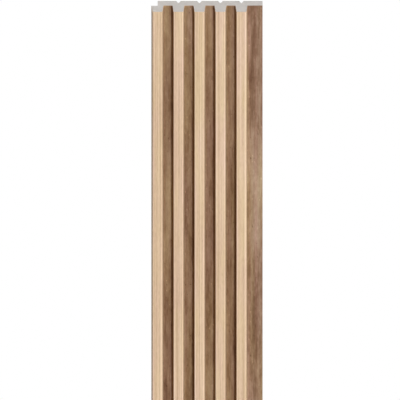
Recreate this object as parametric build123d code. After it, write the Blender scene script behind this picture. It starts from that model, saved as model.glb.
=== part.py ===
from build123d import *
from math import radians, tan
import os

# Slat wall panel: a foamed polymer profile with wood-look film on its front
# Length runs along +Z from the lower end, the back lies on Y = 0 and faces +Y,
# the slats stand towards -Y, and X = 0 is the middle of the overall width

# Whole panel, in millimetres
LENGTH = 2650
THICKNESS = 21
BASE = 9
SLATS = 5
PITCH = 24.4
COVER_WIDTH = SLATS * PITCH

# Slats, measured over the film
SLAT_FRONT = 11.6
SLAT_ROOT = 14.2
FIRST_SLAT_INSET = 0.2
ARRIS_RADIUS = 1.2
ROOT_RADIUS = 0.6

# Film, and how far the light film reaches down each flank
FILM = 0.2
FILM_WRAP = 3

# Lap joint: play behind the first slat for the next panel's flange and its glue
LAP_PLAY = 0.2

# V-grooves in the back, their depth before the bottom is rounded, and the back's corners
V_ANGLE = 60
V_DEPTH = 4.8
V_BOTTOM_RADIUS = 0.7
BACK_CORNER_RADIUS = 0.5

# Places along X, from the shoulder that the next panel butts against
OVERALL_WIDTH = COVER_WIDTH + SLAT_ROOT / 2 + FIRST_SLAT_INSET
SHOULDER = OVERALL_WIDTH / 2 - COVER_WIDTH
FLANGE_EDGE = OVERALL_WIDTH / 2
SLAT_CENTRES = [SHOULDER - FIRST_SLAT_INSET + PITCH * n for n in range(SLATS)]

# How far a blank runs past the panel before it is trimmed
SPARE = 5


def closed_face(points):
    """Flat face inside a straight-sided outline."""
    return make_face(Polyline(*points, close=True))


def corners_at(face, level):
    """Corners of a face that lie at one height of the section."""
    return [corner for corner in face.vertices() if abs(corner.Y - level) < 0.01]


def slat_blank(centre):
    """One slat: tapered from its root to its front, and running on past the back."""
    draft = (SLAT_ROOT - SLAT_FRONT) / 2 / (THICKNESS - BASE)
    back_half = SLAT_ROOT / 2 + draft * (BASE + SPARE)
    front_half = SLAT_FRONT / 2
    return closed_face(
        [
            (centre - back_half, SPARE),
            (centre + back_half, SPARE),
            (centre + front_half, -THICKNESS),
            (centre - front_half, -THICKNESS),
        ]
    )


def front_blank():
    """Base and slats with the finished front surface, rounded at arrises and roots."""
    left = SLAT_CENTRES[0]
    right = FLANGE_EDGE + SPARE
    base = closed_face([(left, SPARE), (right, SPARE), (right, -BASE), (left, -BASE)])
    blank = base + [slat_blank(centre) for centre in SLAT_CENTRES]
    blank = fillet(corners_at(blank, -THICKNESS), ARRIS_RADIUS)
    roots = [corner for corner in corners_at(blank, -BASE) if corner.X < FLANGE_EDGE]
    return fillet(roots, ROOT_RADIUS)


def back_groove(centre):
    """V-groove in the back, with a small round at its bottom."""
    half = V_DEPTH * tan(radians(V_ANGLE / 2))
    groove = closed_face([(centre - half, 0), (centre, -V_DEPTH), (centre + half, 0)])
    return fillet(corners_at(groove, -V_DEPTH), V_BOTTOM_RADIUS)


def trim_outline():
    """What the back and both edges leave standing: flat back, lap rebate and V-grooves."""
    left = -FLANGE_EDGE - SPARE
    outline = closed_face(
        [
            (left, -THICKNESS - SPARE),
            (FLANGE_EDGE, -THICKNESS - SPARE),
            (FLANGE_EDGE, 0),
            (SHOULDER, 0),
            (SHOULDER, -BASE - LAP_PLAY),
            (left, -BASE - LAP_PLAY),
        ]
    )
    outline -= [back_groove(centre) for centre in SLAT_CENTRES[1:]]
    return fillet(corners_at(outline, 0), BACK_CORNER_RADIUS)


def core_section(front, trim):
    """Foam section: the front set back by the film's thickness, then trimmed."""
    return offset(front, -FILM) & trim


def film_sections(front, trim, core):
    """Light strips over the slats, and the brown strips left between them."""
    skin = (front & trim) - core
    caps = Sketch() + [
        Pos(centre, -THICKNESS) * Rectangle(SLAT_ROOT, 2 * FILM_WRAP)
        for centre in SLAT_CENTRES
    ]
    light = skin & caps
    brown = skin - caps
    return in_order(light), in_order(brown)


def in_order(section):
    """Separate faces of a section, from left to right."""
    return sorted(section.faces(), key=lambda face: face.center().X)


def drawn_out(section):
    """The section drawn out to the panel's length."""
    return extrude(section, LENGTH, dir=(0, 0, 1))


def panel_pieces():
    """Every piece of the panel by name."""
    front = front_blank()
    trim = trim_outline()
    core = core_section(front, trim)
    light, brown = film_sections(front, trim, core)
    pieces = {"foam_core": drawn_out(core)}
    for number, strip in enumerate(light, start=1):
        pieces[f"slat_film_{number}"] = drawn_out(strip)
    pieces["outer_flank_film"] = drawn_out(brown[0])
    for number, strip in enumerate(brown[1:-1], start=1):
        pieces[f"groove_film_{number}"] = drawn_out(strip)
    pieces["flange_film"] = drawn_out(brown[-1])
    return pieces


os.makedirs("parts", exist_ok=True)
for name, piece in panel_pieces().items():
    export_step(piece, f"parts/{name}.step")
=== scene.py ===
import math

import bpy
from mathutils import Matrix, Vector


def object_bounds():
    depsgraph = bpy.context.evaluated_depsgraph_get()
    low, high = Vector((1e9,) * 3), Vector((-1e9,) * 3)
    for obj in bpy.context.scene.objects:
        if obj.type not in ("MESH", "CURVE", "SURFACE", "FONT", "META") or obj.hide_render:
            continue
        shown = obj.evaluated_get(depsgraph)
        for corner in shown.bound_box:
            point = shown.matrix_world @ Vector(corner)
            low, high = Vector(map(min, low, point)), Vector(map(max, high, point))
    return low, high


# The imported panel
# A foamed polymer slat panel that stands upright: slats towards -Y, flat back on Y = 0,
# lower end on Z = 0. The core and every strip of film come as pieces of their own.
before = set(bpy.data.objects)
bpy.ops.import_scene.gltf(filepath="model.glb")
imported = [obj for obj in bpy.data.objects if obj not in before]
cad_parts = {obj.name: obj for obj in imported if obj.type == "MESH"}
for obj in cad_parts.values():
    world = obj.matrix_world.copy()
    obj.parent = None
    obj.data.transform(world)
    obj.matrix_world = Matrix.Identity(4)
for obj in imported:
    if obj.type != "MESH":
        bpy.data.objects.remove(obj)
cad_low, cad_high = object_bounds()
PANEL_LENGTH = cad_high.z


# Foam core
# One profile of pale grey foamed polymer, pressed through a die that leaves faint lines
# along its skin, and sawn to length, which opens the fine cells of both ends.
def principled(name):
    """New material with its node tree and shader."""
    material = bpy.data.materials.new(name)
    material.use_nodes = True
    tree = material.node_tree
    return material, tree, tree.nodes["Principled BSDF"]


def noise(tree, across, along, shift=0.0, detail=2.0, distortion=0.0):
    """Noise drawn out along the panel, its sizes in millimetres; the shift picks a patch of it."""
    place = tree.nodes.new("ShaderNodeTexCoord").outputs["Object"]
    stretch = tree.nodes.new("ShaderNodeMapping")
    stretch.inputs["Location"].default_value = (shift, shift * 1.7, shift * 2.3)
    stretch.inputs["Scale"].default_value = (1000 / across, 1000 / across, 1000 / along)
    tree.links.new(place, stretch.inputs["Vector"])
    field = tree.nodes.new("ShaderNodeTexNoise")
    field.inputs["Scale"].default_value = 1
    field.inputs["Detail"].default_value = detail
    field.inputs["Distortion"].default_value = distortion
    tree.links.new(stretch.outputs["Vector"], field.inputs["Vector"])
    return field.outputs["Fac"]


def remapped(tree, value, low, high, to_low=0.0, to_high=1.0):
    """Value moved from one span to another and held at its ends."""
    span = tree.nodes.new("ShaderNodeMapRange")
    span.inputs["From Min"].default_value = low
    span.inputs["From Max"].default_value = high
    span.inputs["To Min"].default_value = to_low
    span.inputs["To Max"].default_value = to_high
    tree.links.new(value, span.inputs["Value"])
    return span.outputs["Result"]


def summed(tree, *parts):
    """One tone about 0.5 from several noises, each with its weight."""
    total = tree.nodes.new("ShaderNodeValue").outputs[0]
    total.default_value = 0.5 - 0.5 * sum(weight for _, weight in parts)
    for value, weight in parts:
        step = tree.nodes.new("ShaderNodeMath")
        step.operation = "MULTIPLY_ADD"
        step.inputs[1].default_value = weight
        tree.links.new(value, step.inputs[0])
        tree.links.new(total, step.inputs[2])
        total = step.outputs[0]
    return total


def coloured(tree, value, stops):
    """Colour ramp over a tone; the stops are pairs of a place and a colour."""
    ramp = tree.nodes.new("ShaderNodeValToRGB")
    elements = ramp.color_ramp.elements
    while len(elements) < len(stops):
        elements.new(0.5)
    for element, (place, colour) in zip(elements, stops):
        element.position = place
        element.color = (*colour, 1)
    tree.links.new(value, ramp.inputs["Fac"])
    return ramp.outputs["Color"]


def mixed(tree, amount, below, above, blend="MIX"):
    """Mix of two colours, each a socket or a value."""
    mix = tree.nodes.new("ShaderNodeMix")
    mix.data_type = "RGBA"
    mix.blend_type = blend
    # The node has a set of sockets for each kind of value: 6, 7 and output 2 are for colours
    for number, value in ((0, amount), (6, below), (7, above)):
        if isinstance(value, bpy.types.NodeSocket):
            tree.links.new(value, mix.inputs[number])
        elif number == 0:
            mix.inputs[number].default_value = value
        else:
            mix.inputs[number].default_value = (*value, 1)
    return mix.outputs[2]


def bumped(tree, shader, height, depth):
    """Surface relief from a height of 0 to 1; its depth is in metres."""
    bump = tree.nodes.new("ShaderNodeBump")
    bump.inputs["Distance"].default_value = depth
    tree.links.new(height, bump.inputs["Height"])
    tree.links.new(bump.outputs["Normal"], shader.inputs["Normal"])


def coordinate(tree, axis):
    """One of the panel's own coordinates, in metres."""
    place = tree.nodes.new("ShaderNodeTexCoord").outputs["Object"]
    parts = tree.nodes.new("ShaderNodeSeparateXYZ")
    tree.links.new(place, parts.inputs["Vector"])
    return parts.outputs[axis]


def calculated(tree, value, *steps):
    """Value after a row of calculations, each an operation and an amount."""
    for operation, amount in steps:
        step = tree.nodes.new("ShaderNodeMath")
        step.operation = operation
        step.inputs[1].default_value = amount
        tree.links.new(value, step.inputs[0])
        value = step.outputs[0]
    return value


FOAM_DARK = (0.46, 0.437, 0.414)
FOAM_PALE = (0.64, 0.611, 0.581)
CELL_TONES = (
    (0.0, (0.415, 0.395, 0.376)),
    (0.4, (0.482, 0.457, 0.435)),
    (1.0, (0.537, 0.51, 0.487)),
)
NOISE_SPAN = (0.3, 0.7)
FOAM_ROUGHNESS = (0.62, 0.74)
FOAM_SPECULAR = 0.2
FOAM_RELIEF = 0.00012
SAWN_DEPTH = 0.0001


def sawn_ends(tree):
    """1 on both sawn ends and 0 on the skin between them."""
    middle = PANEL_LENGTH / 2
    distance = calculated(tree, coordinate(tree, "Z"), ("SUBTRACT", middle), ("ABSOLUTE", 0))
    return remapped(tree, distance, middle - 2 * SAWN_DEPTH, middle - SAWN_DEPTH)


def foam_material():
    """Grey foam: a skin with die lines, and open cells on the sawn ends."""
    material, tree, shader = principled("grey_foam")
    die_lines = noise(tree, across=0.9, along=1600, detail=3)
    cloud = noise(tree, across=18, along=70, shift=4)
    cells = noise(tree, across=0.45, along=0.45, shift=2, detail=3)
    saw_marks = noise(tree, across=9, along=9, shift=6, detail=3)
    skin = mixed(tree, summed(tree, (die_lines, 0.7), (cloud, 0.9)), FOAM_DARK, FOAM_PALE)
    opened = coloured(tree, summed(tree, (cells, 1.3), (saw_marks, 0.8)), CELL_TONES)
    ends = sawn_ends(tree)
    tree.links.new(mixed(tree, ends, skin, opened), shader.inputs["Base Color"])
    roughness = remapped(tree, cloud, *NOISE_SPAN, *FOAM_ROUGHNESS)
    tree.links.new(roughness, shader.inputs["Roughness"])
    shader.inputs["Specular IOR Level"].default_value = FOAM_SPECULAR
    bumped(tree, shader, mixed(tree, ends, die_lines, cells), FOAM_RELIEF)
    return material


def dressed(name, material):
    """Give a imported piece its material."""
    piece = bpy.data.objects[name]
    piece.data.materials.clear()
    piece.data.materials.append(material)


dressed("foam_core", foam_material())

# Light film
# Five strips of decor film printed as light oak, glued to the slat fronts and wrapped
# round both arrises. Both arrises carry a painted highlight that makes the print paler,
# and the flank past the right arris carries painted shade. The print has straight
# streaks, fine fibres, short pores and a slow drift of tone.
OAK_MIDDLE = (0.712, 0.515, 0.341)
OAK_TONES = ((0.0, (0.44, 0.285, 0.165)), (0.5, OAK_MIDDLE), (1.0, (0.90, 0.70, 0.51)))
OAK_PINKER = (1.004, 0.986, 1.048)
OAK_YELLOWER = (0.996, 1.014, 0.952)
OAK_PORE = (0.80, 0.76, 0.72)
OAK_FLECK = (1.05, 1.055, 1.06)
OAK_ARRIS_HIGHLIGHT = (1.165, 1.185, 1.285)
OAK_PAINTED_FLANK_SHADE = (0.62, 0.60, 0.56)
HUE_SPAN = (0.34, 0.66)
OAK_ROUGHNESS = (0.5, 0.42)
OAK_SPECULAR = 0.3
OAK_RELIEF = 0.00006

COVER_WIDTH = 0.122
SLATS = 5
FIRST_SLAT_INSET = 0.0002
PITCH = COVER_WIDTH / SLATS
SHOULDER_X = cad_high.x - COVER_WIDTH
FIRST_SLAT_X = SHOULDER_X - FIRST_SLAT_INSET

# Where the arrises and the flank past the right one lie, from a slat's middle line
ARRIS_PLACE = 0.0047
OAK_FLANK_PLACE = 0.0062


def right_of_slat(tree):
    """How far a place lies past the middle line of the slat on its left, in metres."""
    across = coordinate(tree, "X")
    return calculated(tree, across, ("SUBTRACT", FIRST_SLAT_X), ("FLOORED_MODULO", PITCH))


def near(tree, value, place, within, outside):
    """1 within one distance of a place, fading to 0 outside another."""
    distance = calculated(tree, value, ("SUBTRACT", place), ("ABSOLUTE", 0))
    return remapped(tree, distance, within, outside, 1, 0)


def grown(tree, value, start, full, most=1.0):
    """0 until a value reaches its start, growing to the most where it is full."""
    return remapped(tree, value, start, full, 0, most)


def tinted(tree, tone, amount, tint):
    """Tone multiplied by a tint, as far as the amount says."""
    return mixed(tree, amount, tone, tint, "MULTIPLY")


def surfaced(tree, shader, tone, fibres, pores, roughness, specular, relief):
    """Colour, gloss and relief of a film; its pores lie lower than its fibres."""
    tree.links.new(tone, shader.inputs["Base Color"])
    tree.links.new(remapped(tree, fibres, *NOISE_SPAN, *roughness), shader.inputs["Roughness"])
    shader.inputs["Specular IOR Level"].default_value = specular
    bumped(tree, shader, summed(tree, (fibres, 0.8), (pores, -0.6)), relief)


def light_film_material():
    """Light oak print with a painted highlight on each arris and painted shade on the flank past
    the right arris.
    """
    material, tree, shader = principled("light_oak_film")
    streaks = noise(tree, across=1.7, along=1500, shift=556.74)
    grain = noise(tree, across=1.1, along=320, shift=3)
    fibres = noise(tree, across=0.5, along=45, shift=5, detail=3)
    drift = noise(tree, across=30, along=200, shift=216, detail=3)
    hue = noise(tree, across=10, along=90, shift=485.6)
    mottle = noise(tree, across=0.9, along=7, shift=21)
    pores = noise(tree, across=0.4, along=7, shift=14)
    flecks = noise(tree, across=1.2, along=11, shift=17)
    shade = summed(
        tree, (streaks, 1.1), (grain, 0.9), (fibres, 0.45), (drift, 0.5), (mottle, 0.42)
    )
    hues = mixed(tree, remapped(tree, hue, *HUE_SPAN), OAK_PINKER, OAK_YELLOWER)
    tone = tinted(tree, coloured(tree, shade, OAK_TONES), 1.0, hues)
    tone = tinted(tree, tone, grown(tree, pores, start=0.62, full=0.72, most=0.6), OAK_PORE)
    tone = tinted(tree, tone, grown(tree, flecks, start=0.62, full=0.74, most=0.6), OAK_FLECK)
    across = right_of_slat(tree)
    from_middle = calculated(tree, across, ("PINGPONG", PITCH / 2))
    # Painted highlight: the print is made paler on both arrises, standing in for the light they
    # catch.
    arris_highlight = near(tree, from_middle, ARRIS_PLACE, within=0.0003, outside=0.0008)
    tone = tinted(tree, tone, arris_highlight, OAK_ARRIS_HIGHLIGHT)
    # Painted shade: the oak on the flank past the right arris is made darker.
    painted_right_flank = near(tree, across, OAK_FLANK_PLACE, within=0.0001, outside=0.0006)
    tone = tinted(tree, tone, painted_right_flank, OAK_PAINTED_FLANK_SHADE)
    surfaced(tree, shader, tone, fibres, pores, OAK_ROUGHNESS, OAK_SPECULAR, OAK_RELIEF)
    return material


oak_film = light_film_material()
for number in range(1, SLATS + 1):
    dressed(f"slat_film_{number}", oak_film)

# Brown film
# Strips of decor film printed as walnut and glued on: one in each groove from flank to
# flank, one on the first slat's outer flank, and one over the last slat's flank and the
# flange. In the grooves, flanks that face left carry painted shade, a deeper brown, and
# flanks that face right carry painted light, with oak tone mixed in. The strip on the
# outer flank is a darker copy, also painted shade.
WALNUT_TONES = (
    (0.0, (0.117, 0.052, 0.025)),
    (0.3, (0.216, 0.12, 0.066)),
    (0.5, (0.314, 0.193, 0.117)),
    (0.75, (0.423, 0.288, 0.187)),
    (1.0, (0.552, 0.41, 0.285)),
)
WALNUT_REDDER = (1.0, 0.978, 1.075)
WALNUT_OLIVER = (1.0, 1.022, 0.925)
WALNUT_RED_STREAK = (1.05, 0.955, 1.01)
WALNUT_PORE = (0.72, 0.68, 0.64)
WALNUT_FLECK = (1.5, 1.55, 1.6)
WALNUT_SPOT = (0.6, 0.56, 0.52)
WALNUT_PAINTED_SHADE = (0.94, 0.80, 0.55)
GROOVE_TINT = (1.04, 1.03, 0.98)
FLANGE_TINT = (1.04, 1.11, 1.12)
OUTER_SHADE_TINT = (0.8, 0.74, 0.55)
WALNUT_ROUGHNESS = (0.64, 0.56)
WALNUT_SPECULAR = 0.1
WALNUT_RELIEF = 0.00005

# Where one slat's right flank and the next one's left flank lie, from a slat's middle line
RIGHT_FLANK_PLACE = 0.0061
LEFT_FLANK_PLACE = 0.0182
PAINTED_LIGHT_BLEND = 0.5


def brown_film_material(name, tint, redness, flanks):
    """Walnut print with painted light on right-facing flanks and painted shade on left-facing
    ones; flanks is 1 for a strip with a flank on both sides, which turns these on, and otherwise
    0.
    """
    material, tree, shader = principled(name)
    zones = noise(tree, across=16, along=200, shift=463.165)
    figure = noise(tree, across=8, along=45, shift=190.97, detail=4, distortion=0.5)
    streaks = noise(tree, across=2.2, along=150, shift=8, distortion=0.3)
    fibres = noise(tree, across=0.6, along=25, shift=9, detail=4)
    hue = noise(tree, across=10, along=160, shift=236.72)
    red_streaks = noise(tree, across=3, along=600, shift=1139.6)
    mottle = noise(tree, across=2, along=7, shift=23)
    pores = noise(tree, across=0.35, along=6, shift=15)
    specks = noise(tree, across=2, along=5, shift=18, detail=0)
    shade = summed(
        tree, (zones, 1.08), (figure, 0.65), (streaks, 0.35), (fibres, 0.45), (mottle, 0.36)
    )
    tone = tinted(tree, coloured(tree, shade, WALNUT_TONES), 1.0, tint)
    hues = mixed(tree, remapped(tree, hue, *HUE_SPAN), WALNUT_REDDER, WALNUT_OLIVER)
    tone = tinted(tree, tone, 1.0, hues)
    red = grown(tree, red_streaks, start=0.45, full=0.65, most=redness)
    tone = tinted(tree, tone, red, WALNUT_RED_STREAK)
    across = right_of_slat(tree)
    # Painted light: right-facing flanks, which face the lamps, are made paler by mixing in oak
    # tone.
    painted_right_flank = near(tree, across, RIGHT_FLANK_PLACE, within=0.0006, outside=0.0013)
    painted_light = calculated(tree, painted_right_flank, ("MULTIPLY", PAINTED_LIGHT_BLEND * flanks))
    tone = mixed(tree, painted_light, tone, OAK_MIDDLE)
    # Painted shade: left-facing flanks and the groove bottom beside them, where the slat's shadow
    # falls, are made a deeper brown.
    shaded_left_flank = near(tree, across, LEFT_FLANK_PLACE, within=0.0014, outside=0.0023)
    painted_shade = calculated(tree, shaded_left_flank, ("MULTIPLY", flanks))
    tone = tinted(tree, tone, painted_shade, WALNUT_PAINTED_SHADE)
    tone = tinted(tree, tone, grown(tree, pores, start=0.58, full=0.70, most=0.8), WALNUT_PORE)
    tone = tinted(tree, tone, grown(tree, specks, start=0.76, full=0.81), WALNUT_FLECK)
    tone = tinted(tree, tone, grown(tree, specks, start=0.24, full=0.19), WALNUT_SPOT)
    surfaced(tree, shader, tone, fibres, pores, WALNUT_ROUGHNESS, WALNUT_SPECULAR, WALNUT_RELIEF)
    return material


groove_film = brown_film_material("walnut_film", GROOVE_TINT, redness=0.3, flanks=1)
flange_film = brown_film_material("walnut_film_pale", FLANGE_TINT, redness=1, flanks=0)
# Painted shade: the outer flank, which faces away from the lamps, gets a darker, more olive copy
# of the walnut film.
outer_shaded_film = brown_film_material("walnut_film_painted_shade", OUTER_SHADE_TINT, redness=0.3, flanks=0)
for number in range(1, SLATS):
    dressed(f"groove_film_{number}", groove_film)
dressed("flange_film", flange_film)
dressed("outer_flank_film", outer_shaded_film)

# Floor
# A plain round sheet of matt pale board under the lower end. It only carries the panel's
# shadow and isn't part of it.
FLOOR_RADIUS = 1.2
FLOOR_COLOUR = (0.85, 0.85, 0.84)
FLOOR_ROUGHNESS = 0.9

bpy.ops.object.select_all(action="DESELECT")
bpy.ops.mesh.primitive_circle_add(
    vertices=128, radius=FLOOR_RADIUS, fill_type="NGON", location=(0, 0, 0)
)
floor = bpy.context.object
floor.name = "pale_floor"
floor_material, _, floor_shader = principled("pale_floor")
floor_shader.inputs["Base Color"].default_value = (*FLOOR_COLOUR, 1)
floor_shader.inputs["Roughness"].default_value = FLOOR_ROUGHNESS
floor.data.materials.append(floor_material)


# Light
# Soft studio lamps: the main one in front and a little to the right, two further round on
# the right that catch the right-hand arrises and flanks, a weak one on the left, two behind
# and one overhead, in a dim warm room that is white wherever it is seen or mirrored.
LAMP_DISTANCE = 4


def studio_lamp(name, azimuth, elevation, level, spread):
    """Sun lamp that lights a surface facing it to a share of a plain level."""
    around, up = math.radians(azimuth), math.radians(elevation)
    source = Vector(
        (math.sin(around) * math.cos(up), -math.cos(around) * math.cos(up), math.sin(up))
    )
    bpy.ops.object.light_add(type="SUN", location=source * LAMP_DISTANCE)
    lamp = bpy.context.object
    lamp.name = name
    lamp.rotation_euler = source.to_track_quat("Z", "Y").to_euler()
    lamp.data.energy = level * math.pi
    lamp.data.angle = math.radians(spread)


studio_lamp("main_lamp", azimuth=13, elevation=8, level=0.61, spread=10)
studio_lamp("right_lamp", azimuth=45, elevation=8, level=0.335, spread=12)
studio_lamp("side_lamp", azimuth=85, elevation=8, level=0.38, spread=12)
studio_lamp("left_lamp", azimuth=-88, elevation=8, level=0.03, spread=20)
studio_lamp("back_lamp", azimuth=165, elevation=8, level=0.60, spread=20)
studio_lamp("left_back_lamp", azimuth=-120, elevation=8, level=0.22, spread=20)
studio_lamp("top_lamp", azimuth=0, elevation=89, level=0.68, spread=4)

ROOM_LIGHT = 0.09
ROOM_TINT = (1.0, 0.92, 0.80)
WHITE = (1, 1, 1)
world = bpy.data.worlds.new("white_room")
bpy.context.scene.world = world
world.use_nodes = True
room = world.node_tree
background = room.nodes["Background"]
ray = room.nodes.new("ShaderNodeLightPath")


def either(one, other):
    """1 where one or the other kind of ray meets the room."""
    larger = room.nodes.new("ShaderNodeMath")
    larger.operation = "MAXIMUM"
    room.links.new(one, larger.inputs[0])
    room.links.new(other, larger.inputs[1])
    return larger.outputs[0]


mirrored = either(ray.outputs["Is Glossy Ray"], ray.outputs["Is Transmission Ray"])
seen = either(ray.outputs["Is Camera Ray"], mirrored)
strength = room.nodes.new("ShaderNodeMapRange")
strength.inputs["To Min"].default_value = ROOM_LIGHT
strength.inputs["To Max"].default_value = 1
room.links.new(seen, strength.inputs["Value"])
room.links.new(strength.outputs["Result"], background.inputs["Strength"])
room.links.new(mixed(room, seen, ROOM_TINT, WHITE), background.inputs["Color"])

# View
# Square on to the slats and from above, with no perspective, so that the top end shows
# and the lower end runs out of the picture. The framing is worked out for a picture 400 pixels
# wide.
PICTURE = 400
COVER_WIDTH_IN_PICTURE = 104.92
SHOULDER_IN_PICTURE = 157.66
BACK_EDGE_IN_PICTURE = 0.88
VIEW_ELEVATION = math.radians(37.7)
VIEW_DISTANCE = 6.0
VIEW_REACH = 100

metres_a_pixel = COVER_WIDTH / COVER_WIDTH_IN_PICTURE
aim_x = SHOULDER_X + (PICTURE / 2 - SHOULDER_IN_PICTURE) * metres_a_pixel
below_top = (PICTURE / 2 - BACK_EDGE_IN_PICTURE) * metres_a_pixel
aim_z = PANEL_LENGTH - below_top / math.cos(VIEW_ELEVATION)
towards_camera = Vector((0, -math.cos(VIEW_ELEVATION), math.sin(VIEW_ELEVATION)))

bpy.ops.object.camera_add(location=Vector((aim_x, 0, aim_z)) + towards_camera * VIEW_DISTANCE)
camera = bpy.context.object
camera.name = "view_camera"
camera.rotation_euler = (math.pi / 2 - VIEW_ELEVATION, 0, 0)
camera.data.type = "ORTHO"
camera.data.ortho_scale = PICTURE * metres_a_pixel
camera.data.clip_end = VIEW_REACH
bpy.context.scene.camera = camera
bpy.context.scene.view_settings.view_transform = "Standard"
